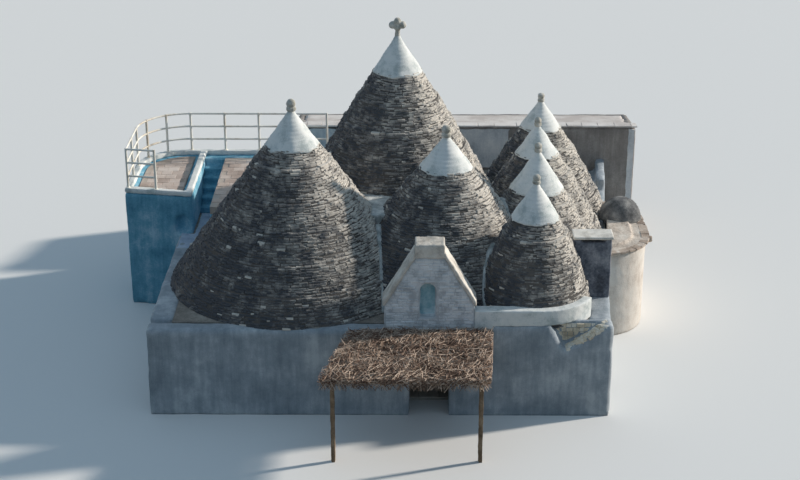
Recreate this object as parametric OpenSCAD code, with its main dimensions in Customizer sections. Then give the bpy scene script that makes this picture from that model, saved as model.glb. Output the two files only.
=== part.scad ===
// Trullo house: seven dry-stone cones on one thick-walled body, with a gabled
// entrance, a pergola, a raised terrace, a rear wing and a rounded oven annex.
// Millimetres. X runs to the right, Y to the back, Z up from the ground.

/* [House body] */
// Distance of the front wall's left corner from the middle line
left_reach = 6150; // [6100:10:6200]
// Distance of the front wall's right corner from the middle line
right_reach = 4730; // [4700:10:4760]
// Distance of the right wall's rear corner from the middle line
right_rear_reach = 5700; // [5650:10:5750]
// Depth of the body that carries the cones
body_depth = 11050; // [11000:10:11100]
// Thickness of the outer walls
wall_t = 750; // [700:10:800]
// Height of the walls, which is the level of the flat roof
wall_h = 2150; // [2100:10:2200]
// How far the front wall leans back over its height
front_batter = 110; // [80:10:120]
// Thickness of the flat roof that carries the cones
deck_t = 200; // [180:10:220]
// Thickness of the stone floor
floor_t = 60; // [50:5:80]
// Thickness of the walls that carry the valleys between cones
inner_wall_t = 350; // [300:10:350]

/* [Entrance] */
// Distance of the doorway's middle from the middle line
door_x = 450; // [430:10:470]
// Clear width of the doorway
door_w = 950; // [900:10:1000]
// Height of the doorway at the crown of its arch
door_h = 1900; // [1850:10:1920]
// Width of the gable over the entrance
gable_w = 2090; // [2000:10:2150]
// Height of the gable's upright ends above the flat roof
gable_end_h = 650; // [630:10:700]
// Height of the gable's shoulders, where the top block sits
gable_peak_h = 1850; // [1800:10:1900]
// Thickness of the gable
gable_t = 450; // [400:10:480]
// Width of the block on top of the gable
gable_block_w = 680; // [650:10:710]
// Height of the block on top of the gable
gable_block_h = 330; // [300:10:360]

/* [Large cones] */
// Foot radius of the front left cone
left_cone_r = 3100; // [3050:10:3100]
// Rise of the front left cone
left_cone_rise = 4390; // [4300:10:4450]
// Foot radius of the cone behind the gable
middle_cone_r = 2800; // [2750:10:2850]
// Rise of the cone behind the gable
middle_cone_rise = 3670; // [3600:10:3750]
// Foot radius of the tallest cone, at the back
rear_cone_r = 3060; // [3000:10:3100]
// Rise of the tallest cone
rear_cone_rise = 5350; // [5250:10:5450]

/* [Row of small cones] */
// Foot radius of the first small cone, by the front
first_cone_r = 1400; // [1380:10:1420]
// Foot radius of the second small cone
second_cone_r = 1640; // [1600:10:1680]
// Foot radius of the third and fourth small cones
last_cone_r = 1860; // [1820:10:1880]
// Rise of the small cones
small_cone_rise = 3130; // [3050:10:3200]

/* [Roof stones] */
// Height of the limewashed band round the first small cone, above the flat roof
band_h = 500; // [470:10:530]
// How far the limewashed caps stand proud of the stones below
cap_proud = 30; // [20:5:40]
// Height of one band of courses
lift = 620; // [610:5:625]
// Width of the ledge where a band of courses steps in from the one below
course_ledge = 45; // [30:5:50]
// Radius of the ball on a pinnacle
ball_r = 120; // [100:5:140]

/* [Terrace] */
// Distance of the terrace's left face from the middle line
terrace_reach = 7600; // [7550:10:7650]
// Height of the terrace floor above the ground
terrace_h = 3200; // [3150:10:3250]
// Radius of the terrace's rounded rear corner
terrace_round = 1400; // [1300:10:1410]
// Width of the stair between the two halves of the terrace
stair_w = 560; // [520:10:600]
// Depth of one tread
tread = 300; // [280:10:320]
// Height of the railing
rail_h = 1100; // [1000:10:1150]

/* [Rear wing] */
// Distance of the wing's right end from the middle line
wing_reach = 6600; // [6550:10:6650]
// Depth of the wing
wing_depth = 2100; // [2000:10:2200]
// Height of the wing's roof at its front edge
wing_h = 3500; // [3450:10:3550]
// Fall of the wing's roof to the back
wing_fall = 300; // [250:10:350]

/* [Oven annex] */
// Outer radius of the annex's round ends
annex_r = 1250; // [1200:10:1300]
// Distance between the middles of the annex's round ends
annex_len = 1100; // [1000:10:1200]
// Height of the annex wall
annex_h = 2300; // [2250:10:2400]

/* [Chimney] */
// Width of the chimney stack
chimney_w = 890; // [850:10:900]
// Depth of the chimney stack
chimney_d = 480; // [450:10:500]
// Height of the chimney's top above the flat roof
chimney_h = 1600; // [1500:10:1700]

/* [Pergola] */
// How far the pergola reaches in front of the wall
pergola_reach = 2500; // [2450:10:2550]
// Height of the pergola's beams
pergola_h = 2060; // [2000:10:2080]
// Thickness of the brushwood cover
brush_t = 160; // [140:10:180]

/* [Hidden] */
$fn = 180;
// How far a cutting shape passes the surface it cuts
past = 20;

// Where each cone stands, its foot radius and rise, how much its side swells, the
// radius and rise of the room's vault, and its cap's rise
X = 0;
Y = 1;
FOOT = 2;
RISE = 3;
SWELL = 4;
VAULT_R = 5;
VAULT_RISE = 6;
CAP = 7;
cones = [
    [-2870, 3250, left_cone_r, left_cone_rise, 0, 1600, 3000, 860],
    [870, 3450, middle_cone_r, middle_cone_rise, 0, 1220, 2450, 780],
    [-340, 6500, rear_cone_r, rear_cone_rise, 0.13, 1300, 3800, 920],
    [2950, 1650, first_cone_r, small_cone_rise, 0.5, 550, 1900, 840],
    [3150, 3900, second_cone_r, small_cone_rise, 0.35, 750, 1900, 960],
    [3290, 5900, last_cone_r, small_cone_rise, 0.2, 800, 2000, 740],
    [3530, 8000, last_cone_r, small_cone_rise, 0.2, 850, 2000, 720]
];
LEFT = 0;
MIDDLE = 1;
REAR = 2;
FIRST = 3;
SECOND = 4;
THIRD = 5;
FOURTH = 6;
stones = "darkgray";
limewash = "white";
plaster = "lightsteelblue";

// Levels and lines that several pieces share
deck_z = wall_h - deck_t;
// How far the flat roof is let into the outer walls
seat = 200;
wing_back = body_depth + wing_depth;
wing_left = -3400;
terrace_back = 9500;
terrace_wall_t = 400;
terrace_front = 6000;
// The terrace's front face is skewed, and its left end lies further back
terrace_front_skew = 300;
slab_t = 200;
stair_left = -5780;
stair_right = stair_left + stair_w;
risers = 6;
riser = (terrace_h - wall_h) / risers;
// The top step reaches the terrace's rear wall
stair_back = terrace_back - terrace_wall_t;
stair_foot_y = stair_back - 100 - (risers - 1) * tread;
// Left end of the taller block at the right of the front wall, and how far it rises
front_block_left = 1950;
front_block_rise = 120;
// The walls inside: their places, and the crown of the arches in them
left_room_right = -1000;
left_room_wall_t = 500;
cross_wall_y = 4850;
rear_wall_x = -2250;
arcade_x = 2100;
arcade_t = 300;
arch_crown = deck_z - 100;
// The alcoves end at these depths, in solid walls of this thickness
alcove_ends = [2600, 4800, 6820, 9000];
alcove_wall_t = 280;
store_arch_y = 10150;
gable_front = front_batter;
origin = [(terrace_reach - wing_reach) / 2, (pergola_reach - wing_back) / 2, 0];

// Outer face of the right wall at a depth y
function right_face(y) =
    right_reach + (right_rear_reach - right_reach) * (y - wall_t) / (body_depth - wall_t);

// Radius of a cone at a height above its foot, without its ledges
function side_r(c, height) = let (u = height / c[RISE]) c[FOOT] * (1 - u) * (1 + c[SWELL] * u);
function cap_foot(c) = c[RISE] - c[CAP];

// Half outline of a cone: bands of courses with a ledge on top of each, then the last
// band, at least half as high, up to the cap's foot, and the tip
function side(c) = let (ledges = floor(cap_foot(c) / lift - 0.5)) concat(
    [for (k = [1 : ledges]) each [[side_r(c, (k - 1) * lift), (k - 1) * lift],
        [side_r(c, k * lift) + course_ledge, k * lift]]],
    [[side_r(c, ledges * lift), ledges * lift], [side_r(c, cap_foot(c)), cap_foot(c)], [0, c[RISE]]]);

// Moves the house so that its origin is under the middle of its whole outline
module placed() translate(origin) children();

// A solid with the plan of a list of points, between two levels
module plan(points, bottom, top) translate([0, 0, bottom]) linear_extrude(top - bottom) polygon(points);

// A solid with a rectangular plan
module block(x0, x1, y0, y1, z0, z1) translate([x0, y0, z0]) cube([x1 - x0, y1 - y0, z1 - z0]);

// A profile of [depth, height] points drawn out along X
module along_x(x0, x1) translate([x0, 0, 0]) rotate([90, 0, 90]) linear_extrude(x1 - x0) children();

// A profile of [x, height] points drawn out along Y
module along_y(y0, y1) translate([0, y1, 0]) rotate([90, 0, 0]) linear_extrude(y1 - y0) children();

// An arched opening of half width r round x, up to a crown height
module arch_shape(x, r, crown, sill) {
    translate([x, crown - r]) circle(r);
    translate([x - r, sill]) square([2 * r, crown - r - sill]);
}

module on_cone(c) translate([c[X], c[Y], wall_h]) children();

// The whole volume of a cone, as if it were solid
module cone_mass(c) on_cone(c) rotate_extrude() polygon(concat([[0, 0]], side(c)));

// The vaulted room inside a cone: an upright foot, then a pointed vault. Its upright and
// its bend are shares of the vault's radius and rise.
vault_upright = 0.12;
vault_bend = [0.72, 0.45];
module cone_room(c) on_cone(c) rotate_extrude()
    polygon([[0, -past], [c[VAULT_R], -past], [c[VAULT_R], c[VAULT_RISE] * vault_upright],
        [c[VAULT_R] * vault_bend[0], c[VAULT_RISE] * vault_bend[1]], [0, c[VAULT_RISE]]]);

// A cone's shell up to its cap, with the masonry it shares given to the earlier cone
module cone_shell(i, earlier, later) {
    c = cones[i];
    color(stones) difference() {
        cone_mass(c);
        cone_room(c);
        on_cone(c) translate([0, 0, cap_foot(c)]) cylinder(r = c[FOOT], h = c[CAP] + past);
        for (k = earlier) cone_mass(cones[k]);
        for (k = later) cone_room(cones[k]);
    }
}

module front_wall_profile(top) polygon([[0, 0], [wall_t, 0], [wall_t, deck_z], [wall_t - seat, deck_z],
    [wall_t - seat, top], [front_batter, top]]);

module front_wall_left() color(plaster)
    along_x(-left_reach, door_x - door_w / 2) front_wall_profile(wall_h);

module front_wall_right() color(plaster)
    along_x(door_x + door_w / 2, front_block_left) front_wall_profile(wall_h);

// The arched head of the doorway, between the two wall ends
module entrance_arch() color(plaster) difference() {
    along_x(door_x - door_w / 2, door_x + door_w / 2) front_wall_profile(wall_h);
    translate([0, -past, 0]) along_y(0, wall_t + 2 * past)
        arch_shape(door_x, door_w / 2, door_h, -past);
    block(door_x - door_w, door_x + door_w, -past, wall_t + past, -past, door_h - door_w / 2);
}

// The broken corner of the taller block: where it starts, its lowest point and its end
break_left = 3260;
break_low = 3620;
break_right = 4600;
break_h = 640;
break_d = 430;

module front_block_mass() along_x(front_block_left, right_reach) front_wall_profile(wall_h + front_block_rise);

// The taller block at the right, with one broken corner
module front_block_right() {
    top = wall_h + front_block_rise;
    color(plaster) difference() {
        front_block_mass();
        along_y(-past, break_d) polygon([[break_left, top + past], [break_left, top],
            [break_low, top - break_h], [break_right, top], [break_right, top + past]]);
        cone_mass(cones[FIRST]);
    }
}

module deck_plan() {
    polygon([[-left_reach + wall_t - seat, wall_t - seat], [right_reach - wall_t + seat, wall_t - seat],
        [right_face(body_depth) - wall_t + seat, body_depth + seat], [wing_left + seat, body_depth + seat],
        [wing_left + seat, terrace_back - seat], [stair_left - seat / 2, terrace_back - seat],
        [stair_left - seat / 2, terrace_front], [-left_reach + wall_t - seat, terrace_front]]);
}

module deck_solid() translate([0, 0, deck_z]) linear_extrude(deck_t) deck_plan();

module left_wall() color(plaster) difference() {
    block(-left_reach, -left_reach + wall_t, wall_t, terrace_front, 0, wall_h);
    deck_solid();
}

// A low parapet stands on the right wall, behind the last small cone
parapet_front = 9300;
parapet_t = 250;
parapet_h = 350;
module right_wall() color(plaster) {
    difference() {
        plan([[right_reach - wall_t, wall_t], [right_reach, wall_t],
            [right_face(body_depth), body_depth], [right_face(body_depth) - wall_t, body_depth]], 0, wall_h);
        deck_solid();
    }
    plan([[right_face(parapet_front) - parapet_t, parapet_front], [right_face(parapet_front), parapet_front],
        [right_face(body_depth), body_depth], [right_face(body_depth) - parapet_t, body_depth]],
        wall_h, wall_h + parapet_h);
}

module ground_floor() color("tan") {
    plan([[-left_reach + wall_t, wall_t], [right_reach - wall_t, wall_t],
        [right_face(body_depth) - wall_t, body_depth], [wing_left + terrace_wall_t, body_depth],
        [wing_left + terrace_wall_t, terrace_back - terrace_wall_t],
        [stair_left, terrace_back - terrace_wall_t], [stair_left, terrace_front],
        [-left_reach + wall_t, terrace_front]], 0, floor_t);
}

// The flat roof is open over each room, in a square that the cone's round vault closes in to
module roof_deck() color(stones) difference() {
    deck_solid();
    for (c = cones) block(c[X] - c[VAULT_R], c[X] + c[VAULT_R], c[Y] - c[VAULT_R], c[Y] + c[VAULT_R],
        deck_z - past, wall_h + past);
}

// A row of arched openings through a wall that runs along Y, each [depth, half width]
module arches_through(x, t, arches) translate([x - past, 0, 0]) rotate([90, 0, 90])
    linear_extrude(t + 2 * past) for (a = arches) arch_shape(a[0], a[1], arch_crown, floor_t - past);

// Walls inside, which carry the valleys where cones meet
module inner_wall_left() color(stones) difference() {
    block(left_room_right, left_room_right + left_room_wall_t, wall_t, cross_wall_y, floor_t, deck_z);
    arches_through(left_room_right, left_room_wall_t, [[2900, 900]]);
}

module inner_wall_cross() color(stones) difference() {
    block(-left_reach + wall_t, arcade_x, cross_wall_y, cross_wall_y + inner_wall_t, floor_t, deck_z);
    along_y(cross_wall_y - past, cross_wall_y + inner_wall_t + past) for (a = [[-3250, 800], [300, 750]])
        arch_shape(a[0], a[1], arch_crown, floor_t - past);
}

module inner_wall_rear() color(stones) difference() {
    block(rear_wall_x, rear_wall_x + inner_wall_t, cross_wall_y + inner_wall_t, body_depth, floor_t, deck_z);
    arches_through(rear_wall_x, inner_wall_t, [[7800, 800]]);
}

// An arch opens each alcove, and a smaller one the store behind the last
module alcove_arcade() color(stones) difference() {
    block(arcade_x, arcade_x + arcade_t, wall_t, body_depth, floor_t, deck_z);
    arches_through(arcade_x, arcade_t,
        concat([for (i = [FIRST : FOURTH]) [cones[i][Y], cones[i][VAULT_R] - 60]], [[store_arch_y, 500]]));
}

// Solid walls between the alcoves under the small cones
module alcove_walls() color(stones) for (y = alcove_ends)
    plan([[arcade_x + arcade_t, y], [right_face(y) - wall_t, y],
        [right_face(y + alcove_wall_t) - wall_t, y + alcove_wall_t], [arcade_x + arcade_t, y + alcove_wall_t]],
        floor_t, deck_z);

module cone_left() cone_shell(LEFT, [], [MIDDLE, REAR]);
module cone_middle() cone_shell(MIDDLE, [LEFT], [REAR, FIRST, SECOND, THIRD]);
module cone_rear() cone_shell(REAR, [LEFT, MIDDLE], [SECOND, THIRD, FOURTH]);
module cone_row_first() cone_shell(FIRST, [MIDDLE], [SECOND]);
module cone_row_second() cone_shell(SECOND, [MIDDLE, REAR, FIRST], [THIRD]);
module cone_row_third() cone_shell(THIRD, [MIDDLE, REAR, SECOND], [FOURTH]);
module cone_row_fourth() cone_shell(FOURTH, [REAR, THIRD], []);

// Each cap is the cone's tip, thickened by its limewashed mortar and cut flat for the pinnacle
tip_r = 70;
tip_cut = 40;
cap_edge = 60;
module limewashed_caps() color(limewash) for (c = cones) {
    foot_r = side_r(c, cap_foot(c)) + cap_proud;
    on_cone(c) translate([0, 0, cap_foot(c)]) rotate_extrude()
        polygon([[0, 0], [foot_r, 0], [foot_r, cap_edge], [tip_r, c[CAP] - tip_cut], [0, c[CAP] - tip_cut]]);
}

// A pinnacle stands on the flat tip: a thick disc and a ball
module ball_pinnacle(r) {
    cylinder(r = r, h = r * 0.7);
    translate([0, 0, r * 1.5]) sphere(r * 0.95);
}

// The tallest cone carries a stone cross with round arms, on a short neck
cross_r = 95;
cross_arm = 130;
cross_z = 290;
module cross_pinnacle() {
    cylinder(r1 = tip_r, r2 = tip_r * 0.8, h = cross_z - cross_r);
    for (p = [[0, -60], [-cross_arm, 0], [cross_arm, 0], [0, 100]]) translate([p[0], 0, cross_z + p[1]])
        sphere(cross_r);
}

module pinnacles() color(limewash) for (i = [LEFT : FOURTH])
    on_cone(cones[i]) translate([0, 0, cones[i][RISE] - tip_cut])
        if (i == REAR) cross_pinnacle();
        else ball_pinnacle(i >= FIRST ? ball_r * 0.8 : ball_r);

// Mortar fills the pits between cones up to the level where the rain can run off. The
// fills are small between large cones, so they need finer facets.
module pit_fill(x0, x1, y0, y1, bottom, top, beside) difference() {
    $fn = 360;
    block(x0, x1, y0, y1, wall_h + bottom, wall_h + top);
    for (i = beside) cone_mass(cones[i]);
}

module valley_saddles() color(limewash) {
    pit_fill(-1700, -420, 3050, 4750, 1245, 1750, [LEFT, MIDDLE, REAR]);
    pit_fill(1800, 2450, 4800, 5600, 760, 1210, [MIDDLE, REAR, SECOND, THIRD]);
}

// The band is straight from the gable, then follows the first small cone's foot
band_t = 320;
band_off = 120;
// The band ends at this angle before the cone's right-hand side
band_end = 28;
module limewashed_band() {
    c = cones[FIRST];
    band_r = c[FOOT] + band_off;
    reach = 2 * band_r;
    color(limewash) difference() {
        union() {
            block(door_x + gable_w / 2, c[X], c[Y] - band_r, c[Y] - band_r + band_t, wall_h, wall_h + band_h);
            difference() {
                translate([c[X], c[Y], wall_h]) cylinder(r = band_r, h = band_h);
                plan([[c[X] - reach, c[Y] - reach], [c[X], c[Y] - reach], [c[X], c[Y]],
                    [c[X] + reach, c[Y] - reach * tan(band_end)], [c[X] + reach, c[Y] + reach],
                    [c[X] - reach, c[Y] + reach]], wall_h - past, wall_h + band_h + past);
            }
        }
        front_block_mass();
        cone_mass(c);
        cone_mass(cones[MIDDLE]);
    }
}

module gable_shape() polygon([[door_x - gable_w / 2, wall_h], [door_x + gable_w / 2, wall_h],
    [door_x + gable_w / 2, wall_h + gable_end_h], [door_x + gable_block_w / 2, wall_h + gable_peak_h],
    [door_x - gable_block_w / 2, wall_h + gable_peak_h], [door_x - gable_w / 2, wall_h + gable_end_h]]);

// The small arched niche in the gable
niche_x = door_x - 40;
niche_r = 190;
niche_d = 200;
module gable_wall() color(plaster) difference() {
    along_y(gable_front, gable_front + gable_t) gable_shape();
    along_y(gable_front - past, gable_front + niche_d)
        arch_shape(niche_x, niche_r, wall_h + 1200, wall_h + 350);
}

// Thick slabs laid on the two slopes of the gable, a little proud of it all round
coping_h = 150;
coping_out = 40;
module gable_coping() color("linen") for (s = [-1, 1])
    along_y(gable_front - coping_out, gable_front + gable_t + coping_out)
        polygon([[door_x + s * (gable_w / 2 + coping_out), wall_h + gable_end_h],
            [door_x + s * gable_w / 2, wall_h + gable_end_h],
            [door_x + s * gable_block_w / 2, wall_h + gable_peak_h],
            [door_x + s * gable_block_w / 2, wall_h + gable_peak_h + coping_h],
            [door_x + s * (gable_w / 2 + coping_out), wall_h + gable_end_h + coping_h - coping_out]]);

module gable_block() color("linen") block(door_x - gable_block_w / 2, door_x + gable_block_w / 2,
    gable_front - coping_out, gable_front + gable_t + coping_out,
    wall_h + gable_peak_h, wall_h + gable_peak_h + gable_block_h);

// Outline of the terrace's left half, drawn in by d from its outer face
function terrace_outline(d) = let (r = terrace_round) concat(
    [[stair_left - d, terrace_front + d], [-terrace_reach + d, terrace_front + terrace_front_skew + d]],
    [for (a = [180 : -6 : 90]) [-terrace_reach + r + (r - d) * cos(a), terrace_back - r + (r - d) * sin(a)]],
    [[stair_left - d, terrace_back - d]]);

module terrace_slab() translate([0, 0, terrace_h - slab_t]) linear_extrude(slab_t)
    polygon(terrace_outline(terrace_wall_t - seat / 2));

// The curved outer wall, with a small arched pit in its front face above the flat roof,
// and the straight rear wall behind the stair
pit_x = -6060;
pit_r = 200;
pit_top = 2650;
pit_d = 250;
podium_right = -1500;
module terrace_wall() color("powderblue") difference() {
    union() {
        plan(terrace_outline(0), 0, terrace_h);
        block(stair_left, wing_left + terrace_wall_t, terrace_back - terrace_wall_t, terrace_back, 0, terrace_h);
        block(wing_left, podium_right, terrace_back - terrace_wall_t, terrace_back, wall_h, terrace_h);
        block(wing_left, wing_left + terrace_wall_t, terrace_back - past, body_depth, 0, wall_h);
    }
    plan(terrace_outline(terrace_wall_t), -past, terrace_h + past);
    terrace_slab();
    deck_solid();
    along_y(terrace_front - past, terrace_front + pit_d) arch_shape(pit_x, pit_r, pit_top, wall_h);
    for (i = [LEFT, REAR]) cone_mass(cones[i]);
}

// The right half runs forward between two cones, and its right side is slanted
podium_front = 5300;
podium_slant = [-3000, 7000];
podium_wall_t = 300;
module podium_plan(d) polygon([[stair_right + d, podium_front + d], [podium_slant[0], podium_front + d],
    [podium_right - d, podium_slant[1]], [podium_right - d, terrace_back - terrace_wall_t - d],
    [stair_right + d, terrace_back - terrace_wall_t - d]]);

// Low walls on the flat roof, which carry the terrace's right half
module terrace_podium() color("powderblue") difference() {
    translate([0, 0, wall_h]) linear_extrude(terrace_h - slab_t - wall_h) difference() {
        podium_plan(0);
        podium_plan(podium_wall_t);
    }
    for (i = [LEFT, REAR]) cone_mass(cones[i]);
}

module terrace_floor_right() difference() {
    translate([0, 0, terrace_h - slab_t]) linear_extrude(slab_t) podium_plan(0);
    for (i = [LEFT, REAR]) cone_mass(cones[i]);
}

module terrace_floor() color("rosybrown") {
    terrace_slab();
    terrace_floor_right();
}

// A limewashed kerb round the edge of both halves, and behind the stair
kerb_w = 180;
kerb_h = 130;
module terrace_kerb() color(limewash) {
    difference() {
        plan(terrace_outline(0), terrace_h, terrace_h + kerb_h);
        plan(terrace_outline(kerb_w), terrace_h - past, terrace_h + kerb_h + past);
    }
    difference() {
        block(stair_left - kerb_w, podium_right, terrace_back - kerb_w, terrace_back, terrace_h, terrace_h + kerb_h);
        for (i = [LEFT, REAR]) cone_mass(cones[i]);
    }
}

// One flight from the flat roof up to the terrace, against the rear wall
module terrace_stair() color("powderblue") translate([stair_left, 0, 0]) rotate([90, 0, 90])
    linear_extrude(stair_w) polygon(concat([[stair_back, wall_h], [stair_foot_y, wall_h]],
        [for (k = [0 : risers - 1]) each [[stair_foot_y + k * tread, wall_h + (k + 1) * riser],
            [k < risers - 1 ? stair_foot_y + (k + 1) * tread : stair_back, wall_h + (k + 1) * riser]]]));

rail_r = 22;
post_r = 28;
rail_levels = [0.3, 0.64, 0.98];
// A straight bar between two points
module bar(a, b, r) {
    d = b - a;
    len = norm(d);
    translate(a) rotate([0, acos(d[2] / len), atan2(d[1], d[0])]) cylinder(r = r, h = len, $fn = 8);
}

module rail_posts(points) for (p = points) translate([p[0], p[1], terrace_h + kerb_h])
    cylinder(r = post_r, h = rail_h, $fn = 8);

// Three rails from point to point, with posts of their own, let into the posts beside them
module railing(points, own, beside = []) color("ivory") difference() {
    union() {
        rail_posts(own);
        for (k = [0 : len(points) - 2], level = rail_levels) {
            z = terrace_h + kerb_h + rail_h * level;
            bar([each points[k], z], [each points[k + 1], z], rail_r);
        }
    }
    rail_posts(beside);
}

// The railing follows the middle of the kerb: a short return at the front, the left side,
// the round corner and the back
rail_in = kerb_w / 2;
rail_x = -terrace_reach + rail_in;
rail_y = terrace_back - rail_in;
rail_return = -6750;
corner = [-terrace_reach + terrace_round, terrace_back - terrace_round];
corner_r = terrace_round - rail_in;
back_gap = 960;
function rail_front(x) =
    terrace_front + rail_in + terrace_front_skew * (stair_left - x) / (terrace_reach + stair_left);
left_line = concat([[rail_return, rail_front(rail_return)]],
    [for (share = [0, 0.5]) [rail_x, rail_front(rail_x) * (1 - share) + corner[1] * share]]);
corner_line = [for (a = [180 : -30 : 90]) corner + corner_r * [cos(a), sin(a)]];
back_line = [for (k = [1 : 4]) [corner[0] + k * back_gap, rail_y]];
module railing_left() railing(concat(left_line, [corner_line[0]]), left_line, [corner_line[0]]);
module railing_corner() railing(corner_line, corner_line);
module railing_back() railing(concat([corner_line[3]], back_line), back_line, [corner_line[3]]);

// Level of the wing's roof at a depth y
function wing_z(y) = wing_h - wing_fall * (y - body_depth) / wing_depth;

// The wing's masonry between two depths, up to its sloping roof
module wing_strip(x0, x1, y0, y1) along_x(x0, x1)
    polygon([[y0, 0], [y1, 0], [y1, wing_z(y1)], [y0, wing_z(y0)]]);

// The roof is let into the walls all round
module wing_roof_solid() along_x(wing_left + seat, wing_reach - seat)
    polygon([[body_depth + seat, wing_z(body_depth + seat) - slab_t], [body_depth + seat, wing_z(body_depth + seat)],
        [wing_back - seat, wing_z(wing_back - seat)], [wing_back - seat, wing_z(wing_back - seat) - slab_t]]);

wing_door_r = 450;
wing_door_h = 1850;
module wing_front_wall() color("silver") difference() {
    wing_strip(wing_left, wing_reach, body_depth, body_depth + terrace_wall_t);
    wing_roof_solid();
    deck_solid();
    along_y(body_depth - past, body_depth + terrace_wall_t + past)
        arch_shape(0, wing_door_r, wing_door_h, -past);
}

module wing_back_wall() color("silver") difference() {
    wing_strip(wing_left, wing_reach, wing_back - terrace_wall_t, wing_back);
    wing_roof_solid();
}

module wing_end_walls() color("silver") difference() {
    for (x = [wing_left, wing_reach - terrace_wall_t])
        wing_strip(x, x + terrace_wall_t, body_depth + terrace_wall_t, wing_back - terrace_wall_t);
    wing_roof_solid();
}

module wing_roof() color("gainsboro") wing_roof_solid();

// A wall with round ends built against the right wall, and its low cover
annex_y = 5500;
annex_x = right_face(annex_y) - 250;
annex_wall_t = 350;
annex_eave = 50;
cover_h = 160;
dome_r = 530;
// Place of the dome, from the middle of the annex's rear round end
dome_at = [730, 120];
module house_side(bottom, top) plan([[0, wall_t], [right_reach, wall_t],
    [right_face(body_depth), body_depth], [0, body_depth]], bottom, top);

module annex_mass(r, bottom, top) {
    for (y = [annex_y, annex_y + annex_len]) translate([annex_x, y, bottom]) cylinder(r = r, h = top - bottom);
    block(annex_x - r, annex_x + r, annex_y, annex_y + annex_len, bottom, top);
}

// A short stone spout throws the annex's rainwater off
spout_r = 70;
spout_in = 50;
spout_out = 180;
spout_y = 100;
spout_down = 90;
module annex_wall() color("mistyrose") difference() {
    union() {
        annex_mass(annex_r, 0, annex_h);
        translate([annex_x + annex_r - spout_in, annex_y + spout_y, annex_h - spout_down]) rotate([0, 90, 0])
            cylinder(r = spout_r, h = spout_in + spout_out);
    }
    annex_mass(annex_r - annex_wall_t, -past, annex_h + past);
    house_side(-past, annex_h + past);
}

module annex_roof() color("tan") difference() {
    union() {
        annex_mass(annex_r + annex_eave, annex_h, annex_h + cover_h / 2);
        annex_mass(annex_r - annex_wall_t, annex_h, annex_h + cover_h);
        translate([annex_x + dome_at[0], annex_y + annex_len + dome_at[1], annex_h + cover_h / 2]) difference() {
            sphere(dome_r);
            translate([0, 0, -dome_r]) cylinder(r = dome_r + past, h = dome_r);
        }
    }
    house_side(annex_h - past, 2 * annex_h);
}

chimney_x = 3950;
chimney_y = 2000;
smoke_gap = 90;
chimney_slab_t = 70;
slab_out = 40;
// Thickness of the stack's sides round its flue, and the level of the flue's floor
flue_side = 150;
flue_floor = 450;
module chimney_stack() color("slategray") difference() {
    block(chimney_x, chimney_x + chimney_w, chimney_y, chimney_y + chimney_d, wall_h,
        wall_h + chimney_h - chimney_slab_t);
    block(chimney_x + flue_side, chimney_x + chimney_w - flue_side, chimney_y + flue_side,
        chimney_y + chimney_d - flue_side, wall_h + flue_floor, wall_h + chimney_h);
    block(chimney_x + flue_side, chimney_x + chimney_w - flue_side, chimney_y - past, chimney_y + chimney_d + past,
        wall_h + chimney_h - chimney_slab_t - smoke_gap, wall_h + chimney_h);
    for (i = [FIRST, SECOND]) cone_mass(cones[i]);
}

module chimney_slab() color("lightgray") block(chimney_x - slab_out, chimney_x + chimney_w + slab_out,
    chimney_y - slab_out, chimney_y + chimney_d + slab_out,
    wall_h + chimney_h - chimney_slab_t, wall_h + chimney_h);

// Edges of the brushwood mat, which lies askew: its front corners, and how far each edge
// has moved to the right where it meets the wall
pergola_left = -1930;
pergola_right = 1710;
mat_back = 10;
left_shift = 570;
right_shift = 150;
function mat_edge(x, shift, y) = x + shift * (y + pergola_reach) / (pergola_reach - mat_back);

// Two posts, a front beam and two side beams that follow the mat's edges back into the wall's face
beam = 100;
beam_in = 100;
module side_beam(x, shift, y0, y1) plan([[mat_edge(x, shift, y0), y0], [mat_edge(x, shift, y0) + beam, y0],
    [mat_edge(x, shift, y1) + beam, y1], [mat_edge(x, shift, y1), y1]], pergola_h - beam, pergola_h);

module pergola_frame() {
    post_y = 300 - pergola_reach;
    left_x = pergola_left + beam_in;
    right_x = pergola_right - beam_in - beam;
    color("sienna") {
        for (x = [mat_edge(left_x, left_shift, post_y), mat_edge(right_x, right_shift, post_y)])
            block(x, x + beam, post_y, post_y + beam, 0, pergola_h - beam);
        difference() {
            for (s = [[left_x, left_shift], [right_x, right_shift]])
                side_beam(s[0], s[1], post_y, 2 * front_batter);
            along_x(-left_reach, right_reach) front_wall_profile(wall_h);
        }
        block(mat_edge(left_x, left_shift, post_y), mat_edge(right_x, right_shift, post_y) + beam,
            post_y, post_y + beam, pergola_h - beam, pergola_h);
    }
}

// Thin poles across the beams, a little longer than the mat is wide
pole_r = 30;
pole_over = 50;
module pergola_poles() color("sienna") for (y = [150 - pergola_reach : 370 : -100]) {
    x0 = mat_edge(pergola_left, left_shift, y) - pole_over;
    x1 = mat_edge(pergola_right, right_shift, y) + pole_over;
    translate([x0, y, pergola_h + pole_r]) rotate([0, 90, 0]) cylinder(r = pole_r, h = x1 - x0);
}

module pergola_brushwood() color("peru") plan([[pergola_left, -pergola_reach], [pergola_right, -pergola_reach],
    [pergola_right + right_shift, -mat_back], [pergola_left + left_shift, -mat_back]],
    pergola_h + 2 * pole_r, pergola_h + 2 * pole_r + brush_t);

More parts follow.
